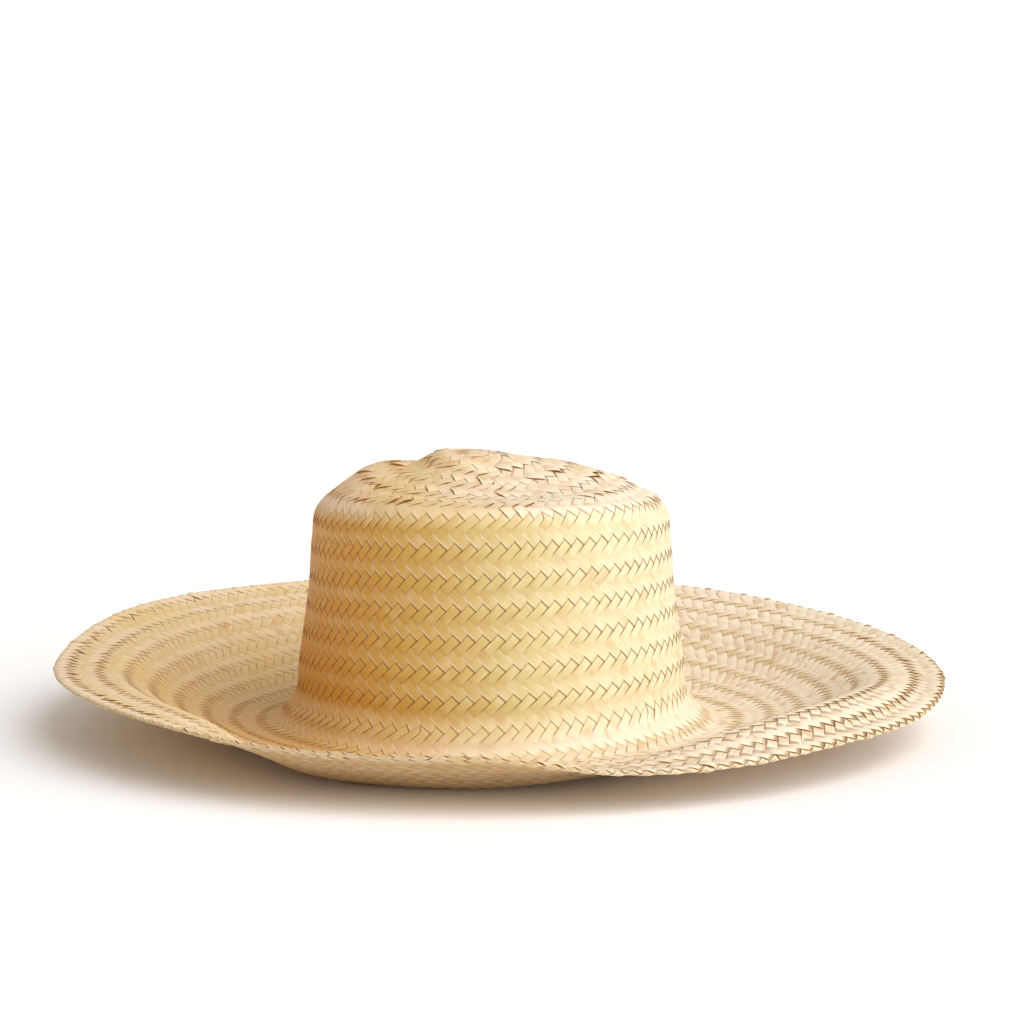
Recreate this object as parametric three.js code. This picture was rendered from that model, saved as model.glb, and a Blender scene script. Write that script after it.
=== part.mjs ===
// A wide-brimmed straw hat, woven in one go from palm strands and resting on its brim.
// Millimetres, +Z up, with -Y the front. The origin is under the middle of the hat, at its lowest.
// Its four solids are the stages of the weaving: crown tip, crown side, brim and folded brim edge.
import * as THREE from "three";

// Overall sizes
const BRIM_WIDTH = 420;
const CROWN_FOOT_WIDTH = 183;
const CROWN_SHOULDER_WIDTH = 164;
const SHOULDER_HEIGHT = 105;
const TIP_RISE = 23;
const BRIM_LIFT = 40;

// Turns between the pieces, and how thick the straw is.
// FLARE_LEAN: how far the foot has already spread where the flare starts, as a share of its radius.
const SHOULDER_RADIUS = 5;
const FLARE_RADIUS = 12;
const FLARE_LEAN = 0.1;
const STRAW_WALL = 1.6;
const EDGE_THICKNESS = 2.6;
const EDGE_BAND = 8;
const PIECE_GAP = 0.3;

// The tip's highest point stands off the hat's axis, on a small flat.
// APEX_FLAT: how far out the flat reaches, as a share of the way to the shoulder.
const APEX_RIGHT = -16;
const APEX_BACK = 6;
const APEX_FLAT = 0.16;

// How finely the solids are faceted
const AZIMUTH_STEPS = 72;
const TIP_RINGS = 8;
const SIDE_RINGS = 7;
const BRIM_RINGS = 13;

// The crown by azimuth, in degrees from the right and turning to the back.
// shoulder: height of the turn into the tip, as a share of SHOULDER_HEIGHT.
// inner, outer: how far the tip rises above the shoulder at a third and at two thirds of the way
// out from its highest point, as shares of TIP_RISE.
const CROWN_FORM = [
  { azimuth: 0, shoulder: 1.025, inner: 0.79, outer: 0.56 },
  { azimuth: 30, shoulder: 1.0, inner: 0.84, outer: 0.59 },
  { azimuth: 60, shoulder: 0.985, inner: 0.88, outer: 0.61 },
  { azimuth: 90, shoulder: 0.98, inner: 0.88, outer: 0.62 },
  { azimuth: 120, shoulder: 0.98, inner: 0.82, outer: 0.66 },
  { azimuth: 150, shoulder: 1.0, inner: 0.74, outer: 0.68 },
  { azimuth: 180, shoulder: 1.03, inner: 0.64, outer: 0.58 },
  { azimuth: 210, shoulder: 1.04, inner: 0.56, outer: 0.34 },
  { azimuth: 240, shoulder: 1.05, inner: 0.55, outer: 0.22 },
  { azimuth: 270, shoulder: 1.05, inner: 0.55, outer: 0.16 },
  { azimuth: 300, shoulder: 1.045, inner: 0.55, outer: 0.18 },
  { azimuth: 330, shoulder: 1.035, inner: 0.7, outer: 0.38 },
];

// The brim by azimuth. reach: how far out its edge lies, as a share of half the brim's width.
// trough, middle, crest, edge: height of its upper face at four places on the way out, as shares
// of BRIM_LIFT. The hat rests where these are lowest: in front, and behind at either side.
const BRIM_FORM = [
  { azimuth: 0, reach: 1.014, trough: 0.09, middle: 0.26, crest: 0.59, edge: 0.61 },
  { azimuth: 30, reach: 1.005, trough: 0.04, middle: 0.26, crest: 0.62, edge: 0.74 },
  { azimuth: 60, reach: 0.995, trough: 0.09, middle: 0.34, crest: 0.72, edge: 0.88 },
  { azimuth: 90, reach: 0.99, trough: 0.12, middle: 0.38, crest: 0.78, edge: 0.95 },
  { azimuth: 120, reach: 0.99, trough: 0.1, middle: 0.36, crest: 0.78, edge: 0.95 },
  { azimuth: 150, reach: 0.985, trough: 0.04, middle: 0.3, crest: 0.76, edge: 0.93 },
  { azimuth: 180, reach: 0.978, trough: 0.09, middle: 0.3, crest: 0.68, edge: 0.74 },
  { azimuth: 205, reach: 0.98, trough: 0.11, middle: 0.33, crest: 0.7, edge: 0.74 },
  { azimuth: 225, reach: 0.99, trough: 0.11, middle: 0.24, crest: 0.64, edge: 0.7 },
  { azimuth: 240, reach: 1.0, trough: 0.08, middle: 0.055, crest: 0.33, edge: 0.58 },
  { azimuth: 255, reach: 1.0, trough: 0.06, middle: 0.019, crest: 0.28, edge: 0.55 },
  { azimuth: 270, reach: 1.0, trough: 0.06, middle: 0.019, crest: 0.3, edge: 0.55 },
  { azimuth: 285, reach: 1.0, trough: 0.08, middle: 0.095, crest: 0.35, edge: 0.42 },
  { azimuth: 300, reach: 1.0, trough: 0.09, middle: 0.2, crest: 0.54, edge: 0.44 },
  { azimuth: 315, reach: 1.005, trough: 0.1, middle: 0.32, crest: 0.68, edge: 0.52 },
  { azimuth: 335, reach: 1.01, trough: 0.11, middle: 0.34, crest: 0.7, edge: 0.53 },
];

// Where the brim's heights are taken, as shares of the way from the flare to the edge
const TROUGH_AT = 0.2;
const MIDDLE_AT = 0.47;
const CREST_AT = 0.77;

// Section of the folded edge: how far out and how far above its middle each corner lies, as
// shares of EDGE_BAND and of EDGE_THICKNESS
const EDGE_SECTION = [
  { out: 0, up: 0.4 },
  { out: 0.5, up: 0.5 },
  { out: 0.85, up: 0.46 },
  { out: 1, up: 0.15 },
  { out: 1, up: -0.15 },
  { out: 0.85, up: -0.46 },
  { out: 0.5, up: -0.5 },
  { out: 0, up: -0.4 },
];

// Places along a meridian, which is a curve from the apex to the end of the brim
const APEX = 0;
const SHOULDER = 5;
const FOOT = 8;
const BRIM_END = 13;

// Value of a column at an azimuth, on a smooth curve that closes round the hat
function around(table, column, azimuth) {
  const count = table.length;
  const turned = THREE.MathUtils.euclideanModulo(azimuth, 360);
  const here = table.findLastIndex((row) => row.azimuth <= turned);
  const angleAt = (row) => table[(row + count) % count].azimuth + 360 * Math.floor(row / count);
  const valueAt = (row) => table[(row + count) % count][column];
  const slopeAt = (row) =>
    (valueAt(row + 1) - valueAt(row - 1)) / (angleAt(row + 1) - angleAt(row - 1));
  const span = angleAt(here + 1) - angleAt(here);
  const share = (turned - angleAt(here)) / span;
  const rest = 1 - share;
  const eased = (3 - 2 * share) * share ** 2;
  const level = THREE.MathUtils.lerp(valueAt(here), valueAt(here + 1), eased);
  return level + span * share * rest * (slopeAt(here) * rest - slopeAt(here + 1) * share);
}

// Upper face of the hat along one azimuth, from the apex out to the end of the brim
function meridian(azimuth) {
  const angle = THREE.MathUtils.degToRad(azimuth);
  const at = (radius, height) =>
    new THREE.Vector3(radius * Math.cos(angle), radius * Math.sin(angle), height);
  const crown = (column) => around(CROWN_FORM, column, azimuth);
  const brim = (column) => around(BRIM_FORM, column, azimuth);

  const shoulderRadius = CROWN_SHOULDER_WIDTH / 2;
  const shoulderHeight = SHOULDER_HEIGHT * crown("shoulder");
  const tipEdge = at(shoulderRadius - SHOULDER_RADIUS, shoulderHeight);
  const apex = new THREE.Vector3(APEX_RIGHT, APEX_BACK, SHOULDER_HEIGHT + TIP_RISE);
  const tipPoint = (share, height) => apex.clone().lerp(tipEdge, share).setZ(height);

  const footRadius = CROWN_FOOT_WIDTH / 2;
  const flareHeight = BRIM_LIFT * brim("trough");
  const footHeight = flareHeight + FLARE_RADIUS;
  const sideRadius = (shoulderRadius + footRadius) / 2;

  const brimStart = footRadius + FLARE_RADIUS;
  const brimEnd = (BRIM_WIDTH / 2) * brim("reach") - EDGE_BAND;
  const brimPoint = (share, height) =>
    at(THREE.MathUtils.lerp(brimStart, brimEnd, share), BRIM_LIFT * height);

  return new THREE.CatmullRomCurve3([
    apex,
    tipPoint(APEX_FLAT, apex.z),
    tipPoint(1 / 3, shoulderHeight + TIP_RISE * crown("inner")),
    tipPoint(2 / 3, shoulderHeight + TIP_RISE * crown("outer")),
    tipEdge,
    at(shoulderRadius, shoulderHeight - SHOULDER_RADIUS),
    at(sideRadius, (shoulderHeight + footHeight) / 2),
    at(footRadius, footHeight + FLARE_RADIUS),
    at(footRadius + FLARE_RADIUS * FLARE_LEAN, footHeight),
    at(brimStart, flareHeight),
    brimPoint(TROUGH_AT, brim("trough")),
    brimPoint(MIDDLE_AT, brim("middle")),
    brimPoint(CREST_AT, brim("crest")),
    brimPoint(1, brim("edge")),
  ]);
}

// Meridians all round the hat, one for each azimuth step
const meridians = Array.from({ length: AZIMUTH_STEPS }, (_, step) =>
  meridian((360 * step) / AZIMUTH_STEPS),
);

function meridianAt(step) {
  return meridians[THREE.MathUtils.euclideanModulo(step, AZIMUTH_STEPS)];
}

// Point, outward direction and face normal at a place on one meridian
function frameAt(step, place) {
  const share = place / BRIM_END;
  const point = meridianAt(step).getPoint(share);
  const outward = meridianAt(step).getTangent(share);
  const turning = meridianAt(step + 1).getPoint(share).sub(meridianAt(step - 1).getPoint(share));
  const normal = new THREE.Vector3(0, 0, 1);
  if (turning.lengthSq() > 0) {
    normal.crossVectors(outward, turning).normalize();
  }
  return { point, outward, normal };
}

// Frames along one meridian between two places. Each end that meets another piece is drawn back
// by half the gap.
function stretch(step, from, to, rings) {
  const frames = [];
  for (let ring = 0; ring <= rings; ring += 1) {
    frames.push(frameAt(step, THREE.MathUtils.lerp(from, to, ring / rings)));
  }
  const first = frames[0];
  const last = frames[rings];
  if (from !== APEX) {
    first.point.addScaledVector(first.outward, PIECE_GAP / 2);
  }
  last.point.addScaledVector(last.outward, -PIECE_GAP / 2);
  return frames;
}

// Closed solid from loops of points, one loop for each azimuth step, skinned all round the hat
function skinned(loops) {
  const positions = [];
  const indices = [];
  const perLoop = loops[0].length;
  loops.forEach((loop) => loop.forEach((point) => positions.push(...point.toArray())));
  for (let step = 0; step < loops.length; step += 1) {
    const here = step * perLoop;
    const next = ((step + 1) % loops.length) * perLoop;
    for (let corner = 0; corner < perLoop; corner += 1) {
      const after = (corner + 1) % perLoop;
      indices.push(here + corner, here + after, next + corner);
      indices.push(here + after, next + after, next + corner);
    }
  }
  const geometry = new THREE.BufferGeometry();
  geometry.setAttribute("position", new THREE.Float32BufferAttribute(positions, 3));
  geometry.setIndex(indices);
  return geometry;
}

// Wall of straw along a stretch of every meridian, open at both ends of the stretch
function wallGeometry(from, to, rings) {
  const loops = meridians.map((_, step) => {
    const frames = stretch(step, from, to, rings);
    const outside = frames.map((frame) => frame.point);
    const inside = frames.map((frame) =>
      frame.point.clone().addScaledVector(frame.normal, -STRAW_WALL),
    );
    return [...outside, ...inside.reverse()];
  });
  return skinned(loops);
}

// Cap of straw from the apex out to the shoulder, with one point at the apex on each face
function capGeometry(to, rings) {
  const positions = [];
  const indices = [];
  const stretches = meridians.map((_, step) => stretch(step, APEX, to, rings));
  const apex = stretches[0][0].point;
  const topApex = 0;
  const lowApex = 1;
  positions.push(...apex.toArray());
  positions.push(apex.x, apex.y, apex.z - STRAW_WALL);
  const vertex = (step, corner) => 2 + (step % AZIMUTH_STEPS) * 2 * rings + corner;
  for (const frames of stretches) {
    const outer = frames.slice(1);
    outer.forEach((frame) => positions.push(...frame.point.toArray()));
    outer.reverse().forEach((frame) =>
      positions.push(...frame.point.clone().addScaledVector(frame.normal, -STRAW_WALL).toArray()),
    );
  }
  for (let step = 0; step < AZIMUTH_STEPS; step += 1) {
    indices.push(topApex, vertex(step, 0), vertex(step + 1, 0));
    for (let corner = 0; corner < 2 * rings - 1; corner += 1) {
      indices.push(vertex(step, corner), vertex(step, corner + 1), vertex(step + 1, corner));
      indices.push(vertex(step, corner + 1), vertex(step + 1, corner + 1), vertex(step + 1, corner));
    }
    indices.push(vertex(step, 2 * rings - 1), lowApex, vertex(step + 1, 2 * rings - 1));
  }
  const geometry = new THREE.BufferGeometry();
  geometry.setAttribute("position", new THREE.Float32BufferAttribute(positions, 3));
  geometry.setIndex(indices);
  return geometry;
}

// Thick band of folded strands that carries the brim's slope on to the hat's outer edge
function edgeGeometry() {
  const loops = meridians.map((_, step) => {
    const { point, outward, normal } = frameAt(step, BRIM_END);
    const reach = EDGE_BAND - PIECE_GAP / 2;
    return EDGE_SECTION.map(({ out, up }) =>
      point
        .clone()
        .addScaledVector(outward, PIECE_GAP / 2 + reach * out)
        .addScaledVector(normal, EDGE_THICKNESS * up - STRAW_WALL / 2),
    );
  });
  return skinned(loops);
}

function piece(name, geometry, material) {
  geometry.computeVertexNormals();
  const mesh = new THREE.Mesh(geometry, material);
  mesh.name = name;
  return mesh;
}

const straw = (color, roughness) =>
  new THREE.MeshStandardMaterial({ color, roughness, metalness: 0 });

const hat = new THREE.Group();
hat.add(
  piece("crown_tip", capGeometry(SHOULDER, TIP_RINGS), straw(0xd8b888, 0.65)),
  piece("crown_side", wallGeometry(SHOULDER, FOOT, SIDE_RINGS), straw(0xdfc084, 0.6)),
  piece("brim", wallGeometry(FOOT, BRIM_END, BRIM_RINGS), straw(0xe0c795, 0.62)),
  piece("brim_edge", edgeGeometry(), straw(0xd9c095, 0.65)),
);

// The hat's lowest places rest on z = 0, under the middle of its outline
const reach = new THREE.Box3().setFromObject(hat);
const middle = reach.getCenter(new THREE.Vector3());
hat.position.set(-middle.x, -middle.y, -reach.min.z);

export default hat;
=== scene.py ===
import math

import bmesh
import bpy
import numpy as np
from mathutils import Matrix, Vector


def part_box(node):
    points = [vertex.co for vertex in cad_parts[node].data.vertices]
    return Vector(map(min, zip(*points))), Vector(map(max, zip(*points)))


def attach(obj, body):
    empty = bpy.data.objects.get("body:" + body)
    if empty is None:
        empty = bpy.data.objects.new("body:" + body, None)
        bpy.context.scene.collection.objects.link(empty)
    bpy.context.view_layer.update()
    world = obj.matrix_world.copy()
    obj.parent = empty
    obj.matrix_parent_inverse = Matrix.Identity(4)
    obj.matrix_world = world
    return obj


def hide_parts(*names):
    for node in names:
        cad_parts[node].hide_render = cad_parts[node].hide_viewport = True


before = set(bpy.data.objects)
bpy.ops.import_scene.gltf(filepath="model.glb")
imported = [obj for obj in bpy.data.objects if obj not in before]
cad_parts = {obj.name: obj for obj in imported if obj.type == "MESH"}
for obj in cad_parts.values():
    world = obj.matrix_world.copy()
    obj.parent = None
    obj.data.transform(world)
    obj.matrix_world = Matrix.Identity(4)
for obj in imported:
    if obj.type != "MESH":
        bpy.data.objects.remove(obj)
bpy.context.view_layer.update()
draw = np.random.default_rng(7)

# How finely the part's surface is read: its own facets round the hat, and the steps between them
AZIMUTH_STEPS = 72
STEPS_BETWEEN = 10
TIP_RINGS = 60
TIP_SAMPLES = 32
TIP_REACH = 0.975
ROW_SAMPLES = 8
SAME_POINT = 1e-6
AT_APEX = 1e-5

# Rows of crossings, counted from the middle of the tip. Four rows repeat the twill.
TWILL = 4
SIDE_ROW = 22
BRIM_ROW = 49
EDGE_ROW = 84
RIM_ROW = 86
LAST_ROW = 89

# Where the rows lie on the pieces: the shoulder, the crown's foot, the edge's first line
SHOULDER_AT = SIDE_ROW + 0.3
FOOT_AT = BRIM_ROW + 0.3
EDGE_AT = EDGE_ROW - 0.5

# Strands of one lay: at the first row, on the side and at the rim
FIRST_STRANDS = 8
SIDE_STRANDS = 84
RIM_STRANDS = 194
STRAND_ROWS = [1, SIDE_ROW, BRIM_ROW - 3, RIM_ROW]
STRAND_COUNTS = [FIRST_STRANDS, SIDE_STRANDS, SIDE_STRANDS, RIM_STRANDS]

# How far apart new strands are scattered, and how the rows are evened out after them
ADDED_SCATTER = 0.25
EVENING_ROUNDS = 3
EVENING_SHARE = 0.24

# How far the rows of the crown rise to the right, in which rows, and where the first row lies
ROW_TIP = 0.0025
ROW_TIP_ROWS = [0, SIDE_ROW, BRIM_ROW, BRIM_ROW + 12, LAST_ROW]
ROW_TIP_SHARES = [0, 1, 1, 0, 0]
FIRST_ROW_OUT = 0.0045

# One strand: its thickness, the fall of its edges, and how far it rides over and under the others
STRAND_THICKNESS = 0.0004
EDGE_FALL = 0.00006
WEAVE_LIFT = 0.00036
WEAVE_DEPTH = 0.0007
TURN_SOFTNESS = 0.15
TURN_HEIGHT = 1.07
LIFT_ROWS = [0, 18, 23, 48, 54, 72, 82, 89]
LIFT_SHARES = [0.68, 0.68, 0.85, 0.85, 0.72, 0.72, 0.95, 0.95]

# Strands that were pulled up on the tip: degrees round the hat, row, pull in metres
PULLED_SPOTS = [
    (234, 18, 0.0014),
    (277, 19, 0.0009),
    (348, 13, 0.0014),
    (330, 9, 0.0008),
    (250, 7, 0.001),
    (300, 5, 0.0008),
    (215, 19, 0.0007),
    (205, 16, 0.0007),
]
SPOT_SPREAD = 0.6
SPOT_ROUND = 1.4
SPOT_DOWN = 0.6

# The front right of the brim, where it bends over and its weave has opened
BEND_ANGLE = math.radians(318)
BEND_WIDTH = math.radians(32)
BEND_ROWS = [62, 70, 84, LAST_ROW]
BEND_SHARES = [0, 1, 1, 0.6]
OPEN_LIFT = 0.00018
OPEN_ROOM = 0.05

# How roughly the straw is woven, row by row, and how far its floats bulge there
COARSE_ROWS = [0, 18, 23, 76, 84, LAST_ROW]
COARSE_SHARES = [1, 1, 0, 0, 0.8, 0.8]
BULGE = 0.0008

# How much of its room a strand takes: more on the tip and at the rim, and changing with the beat
TIGHT_ROOM = 0.045
TIGHT_TIP = ([0, 19, 23], [1, 1, 0])
TIGHT_RIM = ([68, 76], [0, 1])
RISING_FILL = ([0, 0.7, 1.5, 2, 4], [1.0, 1.02, 1.0, 0.97, 1.0])
FALLING_FILL = ([0, 1, 2, 2.6, 3.6, 4], [0.97, 1.0, 0.98, 0.945, 0.935, 0.97])

# How single strands differ from each other
WIDTHS = (0.97, 1.02)
SWAYS = (0, 0.04)
SWAY_PACES = (0.3, 0.7)
TILTS = (-0.00006, 0.00006)
BULGES = 24
BULGE_RARITY = 5

# How finely a strand is drawn, and from which angle on its edges are sharp
STEPS_PER_CELL = 3
SHARP_ANGLE = math.radians(55)

# A strand's section, across from edge to edge and back along its underside
SECTION = (
    (-1.0, -EDGE_FALL),
    (-0.78, 0.0),
    (0.78, 0.0),
    (1.0, -EDGE_FALL),
    (0.85, -STRAND_THICKNESS),
    (-0.85, -STRAND_THICKNESS),
)


def through(times, values, at):
    """A smooth curve through the values at their times, read at other times"""
    step = np.diff(times)
    slope = np.diff(values, axis=0) / step[:, None]
    tangent = np.concatenate([slope[:1], slope])
    before = step[:-1, None]
    after = step[1:, None]
    tangent[1:-1] = (slope[:-1] * after + slope[1:] * before) / (before + after)
    low = np.clip(np.searchsorted(times, at, side="right") - 1, 0, len(step) - 1)
    t = ((at - times[low]) / step[low])[:, None]
    length = step[low][:, None]
    start = values[low] * (1 + 2 * t) * (1 - t) ** 2 + tangent[low] * length * t * (1 - t) ** 2
    end = values[low + 1] * t * t * (3 - 2 * t) + tangent[low + 1] * length * t * t * (t - 1)
    return start + end


def round_the_hat(rings):
    """Rings given at each azimuth step, read smoothly at the finer steps between"""
    wrapped = np.concatenate([rings[-2:], rings, rings[:3]])
    flat = wrapped.reshape(len(wrapped), -1)
    at = np.arange(0, AZIMUTH_STEPS, 1 / STEPS_BETWEEN)
    fine = through(np.arange(-2.0, AZIMUTH_STEPS + 3), flat, at)
    return fine.reshape(len(at), *rings.shape[1:])


def corners_of(name):
    """The node's corners, with the direction each one faces and how many faces meet there"""
    bm = bmesh.new()
    bm.from_mesh(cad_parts[name].data)
    bmesh.ops.remove_doubles(bm, verts=bm.verts, dist=SAME_POINT)
    bmesh.ops.recalc_face_normals(bm, faces=bm.faces)
    corners = []
    for vert in bm.verts:
        facing = sum((face.normal * face.calc_area() for face in vert.link_faces), Vector())
        corners.append((np.array(vert.co), np.array(facing.normalized()), len(vert.link_faces)))
    bm.free()
    return corners


def azimuth_bins(name, axis):
    """The node's corners by azimuth step: the point, how far out it is, and if it faces out"""
    bins = [[] for _ in range(AZIMUTH_STEPS)]
    for point, facing, _ in corners_of(name):
        arm = point[:2] - axis
        step = round(math.atan2(arm[1], arm[0]) * AZIMUTH_STEPS / math.tau) % AZIMUTH_STEPS
        out = np.append(arm / np.linalg.norm(arm), 1)
        bins[step].append((point, np.linalg.norm(arm), facing @ out > 0))
    return bins


def side_rings(axis):
    """The crown side's outer corners at each azimuth, from the shoulder down"""
    bins = azimuth_bins("crown_side", axis)
    outside = [[point for point, _, outer in corners if outer] for corners in bins]
    return np.array([sorted(points, key=lambda point: -point[2]) for points in outside])


def brim_rings(axis):
    """The brim's upper corners at each azimuth, from the crown's foot out"""
    rings = []
    for corners in azimuth_bins("brim", axis):
        upper = sorted((radius, tuple(point)) for point, radius, up in corners if up)
        rings.append([point for _, point in upper])
    return np.array(rings)


def edge_rings(axis, brim):
    """The edge's section at each azimuth, over the top, round the rim and back beneath"""
    rings = []
    for step, corners in enumerate(azimuth_bins("brim_edge", axis)):
        flat = np.array([(radius, point[2]) for point, radius, _ in corners])
        inner, outer = brim[step, -2], brim[step, -1]
        wider = np.linalg.norm(outer[:2] - axis) - np.linalg.norm(inner[:2] - axis)
        along = np.array([wider, outer[2] - inner[2]])
        along /= np.linalg.norm(along)
        arm = flat - flat.mean(axis=0)
        turn = np.arctan2(arm @ np.array([-along[1], along[0]]), arm @ along)
        rings.append([corners[i][0] for i in np.argsort(-turn)])
    return np.array(rings)


def tip_height(axis, shoulder):
    """The height of the tip's outer face above any point, as a function of that point"""
    corners = corners_of("crown_tip")
    outer = [(point, count) for point, facing, count in corners if facing[2] > 0]
    apex = max(outer, key=lambda corner: corner[1])[0]
    arm = shoulder[:, :2] - apex[:2]
    angle = np.unwrap(np.arctan2(arm[:, 1], arm[:, 0]))
    rings = [[] for _ in range(AZIMUTH_STEPS)]
    for point, _ in outer:
        away = point[:2] - apex[:2]
        if np.linalg.norm(away) < AT_APEX:
            continue
        apart = (np.arctan2(away[1], away[0]) - angle + math.pi) % math.tau - math.pi
        rings[int(np.argmin(abs(apart)))].append((np.linalg.norm(away), point[2]))
    rings = np.array([[(0.0, apex[2])] + sorted(ring) for ring in rings])
    fine = round_the_hat(rings)
    drift = angle - math.tau * np.arange(AZIMUTH_STEPS) / AZIMUTH_STEPS
    fine_angle = round_the_hat(drift[:, None])[:, 0] + math.tau * np.arange(len(fine)) / len(fine)
    full_turn = np.append(fine_angle, fine_angle[0] + math.tau)
    share = np.linspace(0, 1, TIP_RINGS + 1)
    heights = [through(ring[:, 0] / ring[-1, 0], ring[:, 1:], share)[:, 0] for ring in fine]
    heights = np.array(heights)
    reach = fine[:, -1, 0]

    def height(points):
        away = points[:, :2] - apex[:2]
        spin = (np.arctan2(away[:, 1], away[:, 0]) - fine_angle[0]) % math.tau + fine_angle[0]
        place = np.interp(spin, full_turn, np.arange(len(fine) + 1))
        low = np.floor(place).astype(int)
        part = place - low
        low, high = low % len(fine), (low + 1) % len(fine)
        limit = reach[low] * (1 - part) + reach[high] * part
        out = np.clip(np.linalg.norm(away, axis=1) / limit, 0, 1) * TIP_RINGS
        ring = np.minimum(np.floor(out).astype(int), TIP_RINGS - 1)
        rest = out - ring
        near = heights[low, ring] * (1 - rest) + heights[low, ring + 1] * rest
        far = heights[high, ring] * (1 - rest) + heights[high, ring + 1] * rest
        return near * (1 - part) + far * part

    return height


def read_surface():
    """Points of the outer face at each fine azimuth and row, and which way the face looks there"""
    low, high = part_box("crown_side")
    axis = np.array(((low + high) / 2)[:2])
    side = side_rings(axis)
    brim = brim_rings(axis)
    edge = edge_rings(axis, brim)
    height = tip_height(axis, side[:, 0])
    side, brim, edge = round_the_hat(side), round_the_hat(brim), round_the_hat(edge)
    shares = np.linspace(0, TIP_REACH, TIP_SAMPLES)
    rows = np.arange(LAST_ROW * ROW_SAMPLES + 1) / ROW_SAMPLES
    table = []
    for step in range(len(side)):
        spin = math.tau * step / len(side)
        shoulder = side[step, 0]
        tip = np.zeros((TIP_SAMPLES, 3))
        tip[:, :2] = axis + shares[:, None] * (shoulder[:2] - axis)
        tip[:, 2] = height(tip)
        line = np.concatenate([tip, side[step, :-1], brim[step, :-1], edge[step]])
        length = np.append(0, np.cumsum(np.linalg.norm(np.diff(line, axis=0), axis=1)))
        foot = TIP_SAMPLES + side.shape[1] - 1
        edge_at = foot + brim.shape[1] - 1
        rim_at = edge_at + int(np.argmax(np.linalg.norm(edge[step, :, :2] - axis, axis=1)))
        places = [0, FIRST_ROW_OUT, *length[[TIP_SAMPLES, foot, edge_at, rim_at, -1]]]
        at_rows = [0, 1, SHOULDER_AT, FOOT_AT, EDGE_AT, RIM_ROW, LAST_ROW]
        reach = np.interp(rows, at_rows, places)
        tipped = np.interp(rows, ROW_TIP_ROWS, ROW_TIP_SHARES)
        reach = reach - ROW_TIP * tipped * math.cos(spin)
        table.append(through(length, line, np.clip(reach, 0, length[-1])))
    table = np.array(table)
    around = np.roll(table, -1, axis=0) - np.roll(table, 1, axis=0)
    down = np.gradient(table, axis=1)
    facing = np.cross(down, around)
    facing[:, 0] = (0, 0, 1)
    facing /= np.maximum(np.linalg.norm(facing, axis=2, keepdims=True), 1e-12)
    return axis, table, facing


axis, surface, surface_facing = read_surface()


def on_surface(spin, row):
    """The outer face's point and direction at the given angles and rows"""
    across = (spin / math.tau * len(surface)) % len(surface)
    down = np.clip(row * ROW_SAMPLES, 0, surface.shape[1] - 1.001)
    i = np.floor(across).astype(int)
    j = np.floor(down).astype(int)
    p = (across - i)[..., None]
    q = (down - j)[..., None]
    i, n = i % len(surface), (i + 1) % len(surface)
    found = []
    for table in (surface, surface_facing):
        near = table[i, j] * (1 - q) + table[i, j + 1] * q
        far = table[n, j] * (1 - q) + table[n, j + 1] * q
        found.append(near * (1 - p) + far * p)
    point, facing = found
    return point, facing / np.linalg.norm(facing, axis=-1, keepdims=True)


def strands_at(row):
    """How many strands of one lay cross the row"""
    return np.interp(row, STRAND_ROWS, STRAND_COUNTS)


def weave():
    """The crossings of every row, and for each one where its two strands come from and go to"""
    rings = [None, np.arange(FIRST_STRANDS) * math.tau / FIRST_STRANDS]
    family = [None, [(i, None, None) for i in range(FIRST_STRANDS)]]
    for row in range(2, LAST_ROW + 1):
        angles = rings[-1]
        count = len(angles)
        extra = max(0, round(float(strands_at(row))) - count) if row % 2 == 0 else 0
        offset = draw.random()
        doubled = set()
        for i in range(extra):
            place = (i + offset + ADDED_SCATTER * draw.random()) * count / extra
            doubled.add(int(place) % count)
        born, born_from = [], []
        for i in range(count):
            start = angles[i]
            gap = (angles[(i + 1) % count] - start) % math.tau
            if i in doubled:
                born += [start + gap / 3, start + gap * 2 / 3]
                born_from += [(i, i, None), (i, None, (i + 1) % count)]
            else:
                born.append(start + gap / 2)
                born_from.append((i, i, (i + 1) % count))
        born = np.array(born)
        for _ in range(EVENING_ROUNDS):
            ahead = (np.roll(born, -1) - born) % math.tau
            born = born + (ahead - np.roll(ahead, 1)) * EVENING_SHARE
        rings.append(born)
        family.append(born_from)
    return rings, family


def gap_middle(angles, i):
    """The angle half way between a crossing and the next one of its row"""
    start = angles[i % len(angles)]
    return start + ((angles[(i + 1) % len(angles)] - start) % math.tau) / 2


def near(angle, other):
    """The angle, turned by whole turns until it lies next to the other"""
    return other + (angle - other + math.pi) % math.tau - math.pi


def cells_of(rings, family):
    """The four corners of every crossing's cell, and the crossings that follow below it"""
    cells = {}
    below = {}
    for row in range(2, LAST_ROW + 1):
        below[row - 1] = {}
        for child, (_, left, right) in enumerate(family[row]):
            if left is not None:
                below[row - 1].setdefault(left, {})["A"] = child
            if right is not None:
                below[row - 1].setdefault(right, {})["B"] = child
    for row in range(1, LAST_ROW):
        for i, angle in enumerate(rings[row]):
            gap = family[row][i][0]
            above = near(gap_middle(rings[row - 1], gap), angle) if row > 1 else angle
            top = (above, row - 1)
            left = (near(gap_middle(rings[row], i - 1), angle), row)
            right = (near(gap_middle(rings[row], i), angle), row)
            bottom = (near(gap_middle(rings[row + 1], below[row][i]["B"]), angle), row + 1)
            cells[row, i] = (top, left, right, bottom)
    return cells, below


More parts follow.
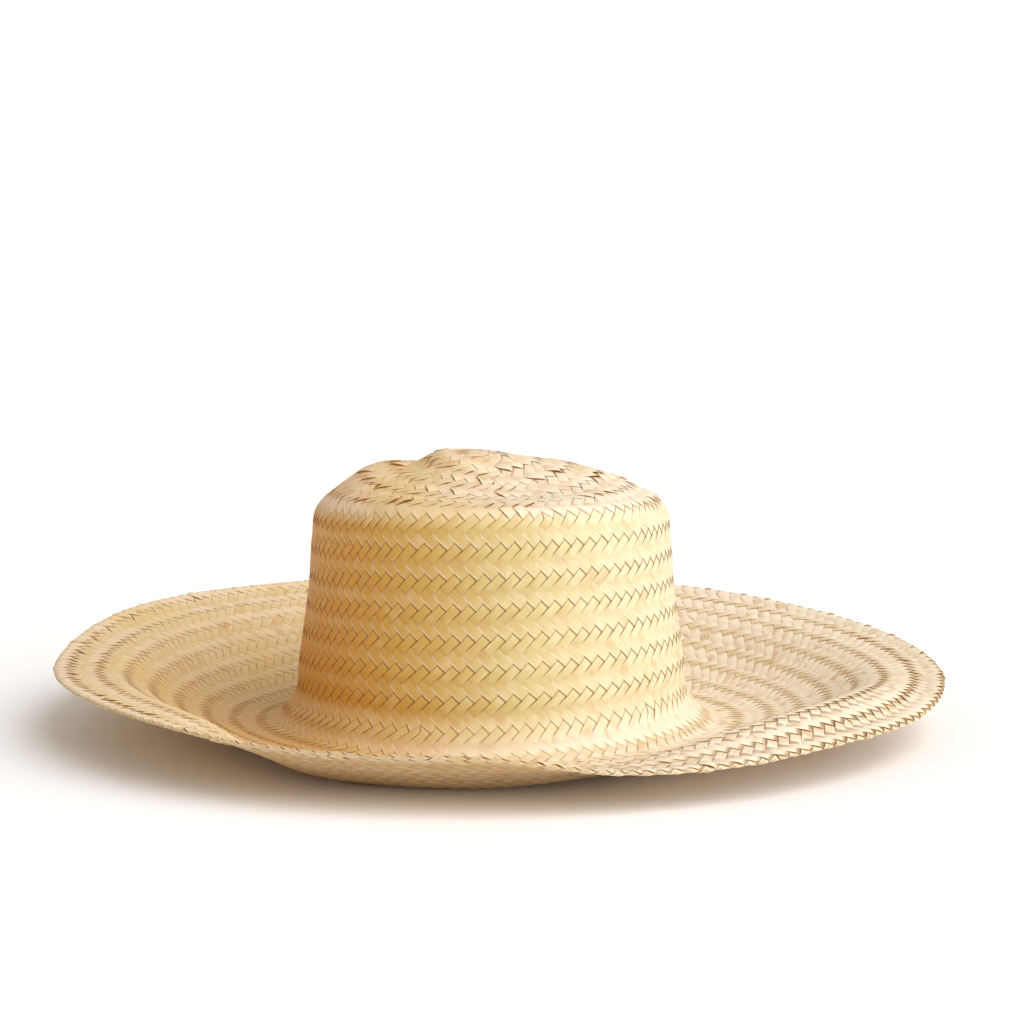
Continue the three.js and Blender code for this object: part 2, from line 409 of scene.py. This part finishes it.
def chains_of(family, below):
    """Every strand as its list of crossings, from where it starts to the last row"""
    chains = []
    for lay, parent in (("A", 1), ("B", 2)):
        for row in range(1, LAST_ROW):
            for i, born in enumerate(family[row]):
                if born[parent] is not None:
                    continue
                chain = [(row, i)]
                while chain[-1][0] < LAST_ROW - 1:
                    last_row, last = chain[-1]
                    chain.append((last_row + 1, below[last_row][last][lay]))
                chains.append((lay, chain))
    return chains


def looseness(spin, rows):
    """1 where the brim bends over at the front right and its weave has opened, 0 elsewhere"""
    turn = (spin - BEND_ANGLE + math.pi) % math.tau - math.pi
    return np.exp(-(turn / BEND_WIDTH) ** 2) * np.interp(rows, BEND_ROWS, BEND_SHARES)


def pulled_up(spin, rows):
    """How far single strands of the tip stand up where they were pulled"""
    height = np.zeros(len(rows))
    for degrees, row, pull in PULLED_SPOTS:
        turn = (spin - math.radians(degrees) + math.pi) % math.tau - math.pi
        aside = -(turn * row * SPOT_SPREAD) ** 2 * SPOT_ROUND
        height += pull * np.exp(aside - (rows - row) ** 2 * SPOT_DOWN)
    return height


def fill_of(lay, spin, rows):
    """How much of its room a strand takes, narrowing where it dives under another"""
    beat = (rows + 0.5) % TWILL
    room = TIGHT_ROOM * np.interp(rows, *TIGHT_TIP) + TIGHT_ROOM * np.interp(rows, *TIGHT_RIM)
    room = room - OPEN_ROOM * looseness(spin, rows)
    return room + np.interp(beat, *(RISING_FILL if lay == "A" else FALLING_FILL))


def coarseness(rows):
    """How roughly the straw is woven: most on the tip and at the rim, 0 between them"""
    return np.interp(rows, COARSE_ROWS, COARSE_SHARES)


def strand(lay, chain, cells, look):
    """One strand: its section's points at each station, and the marks that colour its straw"""
    stations = []
    for at, cell in enumerate(chain):
        top, left, right, bottom = (np.array(corner) for corner in cells[cell])
        if lay == "A":
            low_start, high_start, low_end, high_end = left, top, bottom, right
        else:
            low_start, high_start, low_end, high_end = top, right, left, bottom
        last = 1 if at == len(chain) - 1 else 0
        for u in np.arange(STEPS_PER_CELL + last) / STEPS_PER_CELL:
            low = low_start + (low_end - low_start) * u
            high = high_start + (high_end - high_start) * u
            stations.append((*low, *high, cell[0] - 0.5 + u))
    stations = np.array(stations)
    rows = stations[:, 4]
    sway = look["sway"] * np.sin(rows * look["pace"] + look["phase"])
    fill = fill_of(lay, stations[:, 0], rows) * look["width"]
    section = np.array(SECTION)
    across = section[None, :, 0] * fill[:, None] + sway[:, None]
    share = (across + 1) / 2
    spin = stations[:, None, 0] * (1 - share) + stations[:, None, 2] * share
    row = stations[:, None, 1] * (1 - share) + stations[:, None, 3] * share
    point, facing = on_surface(spin, row)
    sign = 1 if lay == "A" else -1
    swing = sign * np.cos(math.pi / 2 * (rows - 0.5))
    rise = swing / np.sqrt(swing ** 2 + TURN_SOFTNESS) * TURN_HEIGHT
    above = np.clip(rise, 0, 1)
    opened = looseness(stations[:, 0], rows)
    lift = rise * WEAVE_LIFT * np.interp(rows, LIFT_ROWS, LIFT_SHARES)
    lift += (opened * OPEN_LIFT + pulled_up(stations[:, 0], rows)) * above
    floats = ((rows + (0.5 if lay == "A" else 2.5)) // TWILL).astype(int)
    lift += look["bulges"][floats % BULGES] * BULGE * coarseness(rows) * above ** 2
    height = lift[:, None] + section[None, :, 1] - WEAVE_DEPTH + look["tilt"] * section[None, :, 0]
    outer = np.where(section[:, 1] > -STRAND_THICKNESS / 2, 1.0, -1.0)
    marks = {
        "across": section[None, :, 0],
        "beat": rows[:, None],
        "lay": 0.0 if lay == "A" else 1.0,
        "tint": look["tint"],
        "covered": np.clip(-rise[:, None] * outer[None, :], 0, 1),
        "inner": (1 - outer[None, :]) / 2,
        "open": opened[:, None],
    }
    marks = {mark: np.broadcast_to(value, row.shape) for mark, value in marks.items()}
    return point + facing * height[..., None], marks


def woven(name, node, lays, first_row, end_row, strands, cells):
    """One piece of the weave: the stretches of the chosen lays that lie between the rows"""
    placed, marks, starts = [], [], []
    count = 0
    for lay, chain, look in strands:
        stretch = [cell for cell in chain if first_row <= cell[0] < end_row]
        if lay not in lays or not stretch:
            continue
        points, found = strand(lay, stretch, cells, look)
        placed.append(points)
        marks.append(found)
        starts.append(count)
        count += len(points)
    placed = np.concatenate(placed)
    marks = {mark: np.concatenate([found[mark] for found in marks]) for mark in marks[0]}

    wide = len(SECTION)
    bm = bmesh.new()
    bmesh.ops.create_grid(bm, x_segments=wide, y_segments=count - 1, size=0.5)
    bm.verts.ensure_lookup_table()
    layers = {mark: bm.verts.layers.float.new(mark) for mark in marks}
    lines = [bm.verts[i:i + wide + 1] for i in range(0, len(bm.verts), wide + 1)]
    closing = {}
    for station, line in enumerate(lines):
        for side, vert in enumerate(line):
            vert.co = placed[station, side % wide]
            for mark, layer in layers.items():
                vert[layer] = marks[mark][station, side % wide]
        closing[line[wide]] = line[0]

    # The grid is cut between one strand and the next, rolled up to tubes and capped
    between = set()
    for start in starts[1:]:
        before = lines[start - 1]
        faces = {face for vert in lines[start] for face in vert.link_faces}
        between.update(face for face in faces if any(vert in before for vert in face.verts))
    bmesh.ops.delete(bm, geom=list(between), context="FACES_ONLY")
    bare = [edge for edge in bm.edges if not edge.link_faces]
    bmesh.ops.delete(bm, geom=bare, context="EDGES")
    bmesh.ops.weld_verts(bm, targetmap=closing)
    open_edges = [edge for edge in bm.edges if len(edge.link_faces) == 1]
    bmesh.ops.holes_fill(bm, edges=open_edges, sides=wide)
    bmesh.ops.recalc_face_normals(bm, faces=bm.faces)

    mesh = bpy.data.meshes.new(name)
    bm.to_mesh(mesh)
    bm.free()
    mesh.polygons.foreach_set("use_smooth", [True] * len(mesh.polygons))
    mesh.set_sharp_from_angle(angle=SHARP_ANGLE)
    piece = bpy.data.objects.new(name, mesh)
    bpy.context.scene.collection.objects.link(piece)
    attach(piece, "root")
    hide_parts(node)
    return piece


def look_of_strand():
    """How one strand differs from the others"""
    return {
        "width": draw.uniform(*WIDTHS),
        "sway": draw.uniform(*SWAYS),
        "pace": draw.uniform(*SWAY_PACES),
        "phase": draw.uniform(0, math.tau),
        "tilt": draw.uniform(*TILTS),
        "tint": draw.random(),
        "bulges": draw.random(BULGES) ** BULGE_RARITY,
    }


rings, family = weave()
cells, below = cells_of(rings, family)
strands = [(lay, chain, look_of_strand()) for lay, chain in chains_of(family, below)]

tip = woven("tip_weave", "crown_tip", "AB", 1, SIDE_ROW, strands, cells)
side = woven("side_weave", "crown_side", "AB", SIDE_ROW, BRIM_ROW, strands, cells)
rising = woven("brim_weave_rising", "brim", "A", BRIM_ROW, EDGE_ROW, strands, cells)
falling = woven("brim_weave_falling", "brim", "B", BRIM_ROW, EDGE_ROW, strands, cells)
edge = woven("edge_weave", "brim_edge", "AB", EDGE_ROW, LAST_ROW, strands, cells)


class Value:
    """A number on a node's socket, so that shader sums can be written as plain expressions"""

    def __init__(self, nodes, socket):
        self.nodes = nodes
        self.socket = socket

    def __add__(self, other):
        return self.nodes.maths("ADD", self, other)

    def __radd__(self, other):
        return self.nodes.maths("ADD", other, self)

    def __sub__(self, other):
        return self.nodes.maths("SUBTRACT", self, other)

    def __rsub__(self, other):
        return self.nodes.maths("SUBTRACT", other, self)

    def __mul__(self, other):
        return self.nodes.maths("MULTIPLY", self, other)

    def __rmul__(self, other):
        return self.nodes.maths("MULTIPLY", other, self)

    def __mod__(self, other):
        return self.nodes.maths("FLOORED_MODULO", self, other)

    def __abs__(self):
        return self.nodes.maths("ABSOLUTE", self)

    def clamp(self):
        return self.nodes.maths("MINIMUM", self.nodes.maths("MAXIMUM", self, 0.0), 1.0)

    def step(self, none, full):
        """0 at the first number, 1 at the second, and smooth between them, in either direction"""
        settings = {"interpolation_type": "SMOOTHSTEP"}
        inputs = {"Value": self, "From Min": none, "From Max": full}
        return self.nodes.out(self.nodes.add("ShaderNodeMapRange", settings, inputs), "Result")


class Nodes:
    """The nodes of one material or of the world, each of them made by add"""

    def __init__(self, owner):
        owner.use_nodes = True
        self.tree = owner.node_tree
        self.tree.nodes.clear()

    def add(self, kind, settings=(), inputs=()):
        """A node of the type, with its settings and the values or links of its sockets"""
        node = self.tree.nodes.new(kind)
        for key, value in dict(settings).items():
            setattr(node, key, value)
        for key, value in dict(inputs).items():
            if isinstance(value, Value):
                self.tree.links.new(value.socket, node.inputs[key])
            else:
                node.inputs[key].default_value = value
        return node

    def out(self, node, name=0):
        return Value(self, node.outputs[name])

    def maths(self, operation, *numbers):
        settings = {"operation": operation}
        return self.out(self.add("ShaderNodeMath", settings, dict(enumerate(numbers))))

    def attribute(self, name):
        return self.out(self.add("ShaderNodeAttribute", {"attribute_name": name}), "Fac")

    def mix(self, share, first, second):
        """The first colour, with a share of the second over it"""
        inputs = {0: share, 6: first, 7: second}
        return self.out(self.add("ShaderNodeMix", {"data_type": "RGBA"}, inputs), 2)

    def noise(self, place, scale, detail, **more):
        inputs = {"Vector": place, "Scale": scale, "Detail": detail, **more}
        return self.out(self.add("ShaderNodeTexNoise", (), inputs), "Fac")

    def point(self, x, y, z):
        return self.out(self.add("ShaderNodeCombineXYZ", (), {"X": x, "Y": y, "Z": z}))


def linear(red, green, blue):
    """A colour given as the eye and a screen read it, 0 to 255"""
    colour = []
    for part in (red / 255, green / 255, blue / 255):
        colour.append(part / 12.92 if part <= 0.04045 else ((part + 0.055) / 1.055) ** 2.4)
    return (*colour, 1)


CROWN_RISING = linear(210, 191, 114)
CROWN_FALLING = linear(208, 190, 107)
BRIM_RISING = linear(233, 213, 186)
BRIM_FALLING = linear(227, 207, 172)
CREAM = linear(248, 236, 206)
TAN = linear(200, 156, 96)
# Deep gold: partly the straw's own colour, partly painted shade on the hat's left, away from the key
# light
DEEP_GOLD_AND_SHADE = linear(213, 138, 6)
# Pale creams that stand for painted light on the right side, towards the key light
PAINTED_LIGHT_PALE = linear(245, 243, 228)
BRIM_PAINTED_LIGHT_PALE = linear(252, 241, 224)
WARM = linear(214, 180, 112)
# Brown of the painted shadow that the crown casts on the brim at its left foot
FOOT_SHADOW_BROWN = linear(198, 138, 44)
GOLDEN = linear(218, 186, 98)
# Brown of the painted shade in the gap lines, and of the strands' brown ends
BROWN = linear(134, 92, 42)
# Brown of the painted shade under another strand
PAINTED_SHADE_UNDER = linear(168, 122, 66)
BLACK = (0, 0, 0, 1)

# Painted light: a faint glow of the straw under another strand, standing in for the light that thin
# straw lets through
PAINTED_GLOW = linear(178, 124, 50)
PAINTED_GLOW_STRENGTH = 0.2

# Where the looks lie. Value.step reads each pair: nothing at the first number, all at the second.
# In metres from the hat's middle, x to the right and y to the back
LEFTWARD_X = (0.03, -0.1)
FAR_LEFT_X = (0.0, -0.16)
RIGHTWARD_X = (-0.05, 0.1)
SHADED_GOLD_Y = (0.075, 0.0)
FOOT_SHADOW_Y = (0.05, -0.06)
FRONTWARD_Y = (0.06, -0.12)

# In rows from the middle of the tip
CROWN_BEGINS = (20.5, 23.5)
CROWN_ENDS = (47, 54)
TIP_ROWS = (23, 19)
TIP_SHADED_GOLD_ROWS = (24, 18)
WARM_BEGINS = (46, 52)
WARM_ENDS = (88, 74)
FOOT_SHADOW_BEGINS = (48, 52)
FOOT_SHADOW_ENDS = (80, 58)
RIM_ROWS = (83, 86)

# Across a strand, from -1 at one edge to 1 at the other
SHADE_SIDE_ACROSS = (0.1, 0.95)
HIGHLIGHT_SIDE_ACROSS = (-0.1, -0.9)
HIGHLIGHT_EDGE_ACROSS = (-0.72, -0.9)
SHADE_LINE_EDGES = (0.86, 0.95)

# Along a strand, in the four beats of the twill
SHADE_START_BEATS = (1.3, 0.2)
HIGHLIGHT_END_BEATS = (0.8, 1.9)
HIGHLIGHT_EDGE_BEATS = (1.75, 1.5)
SIDES_BEGIN = (1.9, 2.05)
SIDES_END = (3.5, 3.1)
START_BEGINS = (1.5, 1.9)
START_ENDS = (2.2, 2.08)
RING_BEGINS = (1.3, 2.1)
RING_ENDS = (3.6, 2.7)
RISING_TIP_BEGINS = (1.45, 1.8)
RISING_TIP_ENDS = (2.4, 2.1)
FALLING_TIP = (3.4, 3.7)

# In the noises, and in how deep a strand lies under the other
TAN_BLOTCH = (0.5, 0.78)
CREAM_BLOTCH = (0.5, 0.22)
BROWN_BLOTCH = (0.3, 0.48)
TAN_FIBRE = (0.6, 0.35)
GOLDEN_PATCH = (0.5, 0.68)
UNDER = (0.1, 0.7)
UNDER_PAINTED_GLOW = (0.0, 0.5)

# How strongly each look shows, from 0 to 1, and how that changes with the place
SHADED_GOLD_BEHIND, SHADED_GOLD_IN_FRONT = 0.4, 0.45
SHADED_GOLD_ON_TIP = 0.4
WARM_AT_LEFT = 0.3
FOOT_SHADOW_BEHIND, FOOT_SHADOW_IN_FRONT = 0.45, 0.55
FOOT_SHADOW_SHARE = 0.85
PAINTED_LIGHT_ON_CROWN = 0.6
PAINTED_LIGHT_BEHIND, PAINTED_LIGHT_IN_FRONT = 0.68, 0.28
TAN_BLOTCHES, FEWER_ON_CROWN = 0.6, 0.2
CREAM_BLOTCHES, FEWER_AT_LEFT, MORE_HIGHLIGHTS_ON_TIP = 0.35, 0.25, 0.3
TAN_FIBRES = 0.22
PAINTED_SIDE_SHADE = 0.16
PAINTED_SIDE_HIGHLIGHT, SIDE_HIGHLIGHT_LESS_AT_LEFT = 0.16, 0.08
PAINTED_START_SHADE = 0.14
PAINTED_END_HIGHLIGHT = 0.16
PAINTED_EDGE_HIGHLIGHT, EDGE_HIGHLIGHT_LESS_AT_LEFT = 0.8, 0.35
PATCHES, PATCHES_LESS_AT_RIGHT, PATCHES_LESS_ON_CROWN = 0.36, 0.28, 0.7
WARM_RINGS = 0.4
SHADE_LINE_SIDES, SHADE_LINE_STARTS = 0.85, 0.8
LINES_ON_BRIM, LINES_ON_CROWN, LINES_ON_TIP, LINES_IF_OPEN, LINES_IN_FOOT_SHADOW = 0.3, 0.6, 0.35, 0.25, 0.5
ENDS_IF_OPEN, ENDS_AT_RIM = 0.65, 0.2
UNDER_SHADE = 0.7
INNER_SHADE = 0.5

# How fine the noises are, across and along a strand, and how far apart the strands lie in them
FIBRES = {"fine": (7, 0.5), "apart": (90, 7), "detail": 3.0}
BLOTCHES = {"fine": (0.4, 0.42), "apart": (60, 11), "detail": 1.0}
FIBRE_ROUGHNESS = 0.6
PATCH_SCALE = 16.0

# The surface: fibres stand proud in metres, and the straw shines a little
FIBRE_HEIGHT = 0.0002
FIBRE_BUMP = 0.3
SMOOTHEST, ROUGHER_FIBRES = 0.4, 0.2
SHINE = 0.35


def place_colour(straw, lay, row, x, y):
    """The straw's colour by its place on the hat: deep gold at the left, partly straw colour and
    partly painted shade; a painted shadow at the crown's left foot; painted light at the right; and
    the shares that other looks depend on
    """
    on_crown = row.step(*CROWN_BEGINS) * (1 - row.step(*CROWN_ENDS))
    left = x.step(*LEFTWARD_X)
    right = x.step(*RIGHTWARD_X)
    # Painted shadow: the brim at the crown's left foot, where the crown shades it, turns brown and
    # its gap lines darker
    foot = left * row.step(*FOOT_SHADOW_ENDS) * row.step(*FOOT_SHADOW_BEGINS)
    foot = foot * (FOOT_SHADOW_BEHIND + y.step(*FOOT_SHADOW_Y) * FOOT_SHADOW_IN_FRONT)
    crown = straw.mix(lay, CROWN_RISING, CROWN_FALLING)
    # Towards the left, crown and tip turn deep gold: partly straw colour, partly painted shade
    crown = straw.mix(left * (SHADED_GOLD_BEHIND + y.step(*SHADED_GOLD_Y) * SHADED_GOLD_IN_FRONT), crown, DEEP_GOLD_AND_SHADE)
    brim = straw.mix(lay, BRIM_RISING, BRIM_FALLING)
    brim = straw.mix(left * row.step(*TIP_SHADED_GOLD_ROWS) * SHADED_GOLD_ON_TIP, brim, DEEP_GOLD_AND_SHADE)
    warm = x.step(*FAR_LEFT_X) * row.step(*WARM_BEGINS) * row.step(*WARM_ENDS)
    brim = straw.mix(warm * WARM_AT_LEFT, brim, WARM)
    brim = straw.mix(foot * FOOT_SHADOW_SHARE, brim, FOOT_SHADOW_BROWN)
    base = straw.mix(on_crown, brim, crown)
    # Painted light: the right side, towards the key light, turns pale cream, more so on the brim
    # towards the front
    pale_brim = PAINTED_LIGHT_BEHIND + y.step(*FRONTWARD_Y) * PAINTED_LIGHT_IN_FRONT
    pale = on_crown * PAINTED_LIGHT_ON_CROWN + (1 - on_crown) * pale_brim
    base = straw.mix(right * pale, base, straw.mix(on_crown, BRIM_PAINTED_LIGHT_PALE, PAINTED_LIGHT_PALE))
    return base, on_crown, left, right, foot


def straw_material():
    """Palm straw: fine fibres, painted highlights on one lay's edges, brown lines of painted shade
    where the other comes up
    """
    material = bpy.data.materials.new("palm_straw")
    straw = Nodes(material)
    across = straw.attribute("across")
    row = straw.attribute("beat")
    tint = straw.attribute("tint")
    covered = straw.attribute("covered")
    opened = straw.attribute("open")
    falling = straw.attribute("lay")
    rising = 1 - falling
    beat = (row + 0.5) % float(TWILL)
    place = straw.out(straw.add("ShaderNodeTexCoord"), "Object")
    axes = straw.add("ShaderNodeSeparateXYZ", (), {0: place})
    x, y = straw.out(axes, "X"), straw.out(axes, "Y")
    on_tip = row.step(*TIP_ROWS)
    base, on_crown, left, right, foot = place_colour(straw, falling, row, x, y)

    # Fibres along each strand, and the blotches that it grew with; on the tip the cream blotches
    # also serve as painted highlights
    noises = []
    for look, more in ((FIBRES, {"Roughness": FIBRE_ROUGHNESS}), (BLOTCHES, {})):
        apart = tint * look["apart"][0] + falling * look["apart"][1]
        spot = straw.point(across * look["fine"][0], row * look["fine"][1], apart)
        noises.append(straw.noise(spot, 1.0, look["detail"], **more))
    fibre, blotch = noises
    tan_share = TAN_BLOTCHES - on_crown * FEWER_ON_CROWN
    # More cream on the tip: painted highlights
    cream_and_highlight_share = CREAM_BLOTCHES - left * FEWER_AT_LEFT + on_tip * MORE_HIGHLIGHTS_ON_TIP
    base = straw.mix(blotch.step(*TAN_BLOTCH) * tan_share, base, TAN)
    base = straw.mix(blotch.step(*CREAM_BLOTCH) * cream_and_highlight_share, base, CREAM)
    base = straw.mix(fibre.step(*TAN_FIBRE) * TAN_FIBRES, base, TAN)

    # Painted shade and painted highlights on the rising lay, as if it lay rounder: darker to one
    # side and where it comes up, lighter on the other side and towards its end, with a painted
    # highlight along one edge; the highlights are weaker at the left
    base = straw.mix(rising * across.step(*SHADE_SIDE_ACROSS) * PAINTED_SIDE_SHADE, base, TAN)
    painted_side_highlight = rising * across.step(*HIGHLIGHT_SIDE_ACROSS) * (PAINTED_SIDE_HIGHLIGHT - left * SIDE_HIGHLIGHT_LESS_AT_LEFT)
    base = straw.mix(painted_side_highlight, base, CREAM)
    base = straw.mix(rising * beat.step(*SHADE_START_BEATS) * PAINTED_START_SHADE, base, TAN)
    base = straw.mix(rising * beat.step(*HIGHLIGHT_END_BEATS) * (1 - left) * PAINTED_END_HIGHLIGHT, base, CREAM)
    painted_edge_highlight = rising * across.step(*HIGHLIGHT_EDGE_ACROSS) * beat.step(*HIGHLIGHT_EDGE_BEATS)
    base = straw.mix(painted_edge_highlight * (PAINTED_EDGE_HIGHLIGHT - left * EDGE_HIGHLIGHT_LESS_AT_LEFT), base, CREAM)

    # Golden patches, and warm rings round the brim where the falling lay lies on top
    patch = straw.noise(place, PATCH_SCALE, 1.0)
    patch_share = (1 - on_crown * PATCHES_LESS_ON_CROWN) * (PATCHES - right * PATCHES_LESS_AT_RIGHT)
    base = straw.mix(patch.step(*GOLDEN_PATCH) * patch_share, base, GOLDEN)
    ring = beat.step(*RING_BEGINS) * beat.step(*RING_ENDS)
    base = straw.mix(ring * (1 - on_crown) * (1 - on_tip) * WARM_RINGS, base, WARM)

    # Painted shade: brown lines in the gaps beside and before the falling strands, stronger at the
    # crown's left foot and where the weave is open. Brown ends where the weave is open
    shaded_gap_sides = falling * abs(across).step(*SHADE_LINE_EDGES)
    shaded_gap_sides = shaded_gap_sides * beat.step(*SIDES_BEGIN) * beat.step(*SIDES_END)
    shaded_gap_start = falling * beat.step(*START_ENDS) * beat.step(*START_BEGINS)
    lines = (shaded_gap_sides * SHADE_LINE_SIDES + shaded_gap_start * SHADE_LINE_STARTS).clamp()
    shade_line_share = LINES_ON_BRIM + on_crown * LINES_ON_CROWN + on_tip * LINES_ON_TIP
    shade_line_share = shade_line_share + opened * LINES_IF_OPEN + foot * LINES_IN_FOOT_SHADOW
    base = straw.mix(lines * shade_line_share.clamp(), base, BROWN)
    rising_tip = rising * beat.step(*RISING_TIP_BEGINS) * beat.step(*RISING_TIP_ENDS)
    ends = (rising_tip + falling * beat.step(*FALLING_TIP)).clamp()
    end_share = (opened * ENDS_IF_OPEN + row.step(*RIM_ROWS) * ENDS_AT_RIM).clamp()
    base = straw.mix(ends * blotch.step(*BROWN_BLOTCH) * end_share, base, BROWN)

    # Painted shade: what lies under another strand turns brown, and the strands' other faces inside
    # the hat turn tan
    base = straw.mix(covered.step(*UNDER) * UNDER_SHADE, base, PAINTED_SHADE_UNDER)
    base = straw.mix(straw.attribute("inner") * INNER_SHADE, base, TAN)

    relief = {"Height": fibre, "Strength": FIBRE_BUMP, "Distance": FIBRE_HEIGHT}
    bump = straw.add("ShaderNodeBump", (), relief)
    shader = straw.add("ShaderNodeBsdfPrincipled", (), {
        "Base Color": base,
        "Roughness": SMOOTHEST + fibre * ROUGHER_FIBRES,
        "Specular IOR Level": SHINE,
        # Painted light: a faint glow where a strand lies under another
        "Emission Color": straw.mix(covered.step(*UNDER_PAINTED_GLOW), BLACK, PAINTED_GLOW),
        "Emission Strength": PAINTED_GLOW_STRENGTH,
        "Normal": straw.out(bump, "Normal"),
    })
    straw.add("ShaderNodeOutputMaterial", (), {"Surface": straw.out(shader)})
    return material


palm = straw_material()
for piece in (tip, side, rising, falling, edge):
    piece.data.materials.append(palm)

# The floor
FLOOR_SIZE = 12.0
FLOOR_COLOUR = linear(253, 253, 254)
FLOOR_ROUGHNESS = 0.95

floor_mesh = bmesh.new()
bmesh.ops.create_grid(floor_mesh, x_segments=4, y_segments=4, size=FLOOR_SIZE / 2)
floor_data = bpy.data.meshes.new("floor")
floor_mesh.to_mesh(floor_data)
floor_mesh.free()
floor = bpy.data.objects.new("floor", floor_data)
bpy.context.scene.collection.objects.link(floor)
pale_floor = bpy.data.materials.new("pale_floor")
paper = Nodes(pale_floor)
paper_look = {"Base Color": FLOOR_COLOUR, "Roughness": FLOOR_ROUGHNESS}
paper_shader = paper.add("ShaderNodeBsdfPrincipled", (), paper_look)
paper.add("ShaderNodeOutputMaterial", (), {"Surface": paper.out(paper_shader)})
floor.data.materials.append(pale_floor)

# Soft light all round on a white backdrop, and a wide sun-like key from the right and the front
ROOM_COLOUR = (1.0, 0.95, 0.88, 1)
ROOM_LIGHT = 0.56
WHITE = (1, 1, 1, 1)
BACKGROUND = 1.1
KEY_LIGHT = 2.85
KEY_WIDTH = math.radians(75)
KEY_TOWARDS = Vector((-0.7, 0.42, -0.62))

world = bpy.data.worlds.new("studio")
bpy.context.scene.world = world
studio = Nodes(world)
room = studio.add("ShaderNodeBackground", (), {"Color": ROOM_COLOUR, "Strength": ROOM_LIGHT})
seen = studio.add("ShaderNodeBackground", (), {"Color": WHITE, "Strength": BACKGROUND})
is_seen = studio.out(studio.add("ShaderNodeLightPath"), "Is Camera Ray")
backdrop = {0: is_seen, 1: studio.out(room), 2: studio.out(seen)}
choose = studio.add("ShaderNodeMixShader", (), backdrop)
studio.add("ShaderNodeOutputWorld", (), {"Surface": studio.out(choose)})

key = bpy.data.lights.new("key", "SUN")
key.energy = KEY_LIGHT
key.angle = KEY_WIDTH
key_lamp = bpy.data.objects.new("key", key)
key_lamp.rotation_euler = KEY_TOWARDS.to_track_quat("-Z", "Y").to_euler()
bpy.context.scene.collection.objects.link(key_lamp)
bpy.context.scene.view_settings.view_transform = "Standard"

# The camera, where the photograph was taken from
CAMERA_PLACE = (0.0059, -1.4724, 0.2862)
CAMERA_DOWN = math.radians(7.18)
LENS = 111.1
SENSOR_WIDTH = 36

camera_data = bpy.data.cameras.new("camera")
camera_data.lens = LENS
camera_data.sensor_width = SENSOR_WIDTH
camera = bpy.data.objects.new("camera", camera_data)
camera.location = CAMERA_PLACE
camera.rotation_euler = (math.pi / 2 - CAMERA_DOWN, 0, 0)
bpy.context.scene.collection.objects.link(camera)
bpy.context.scene.camera = camera
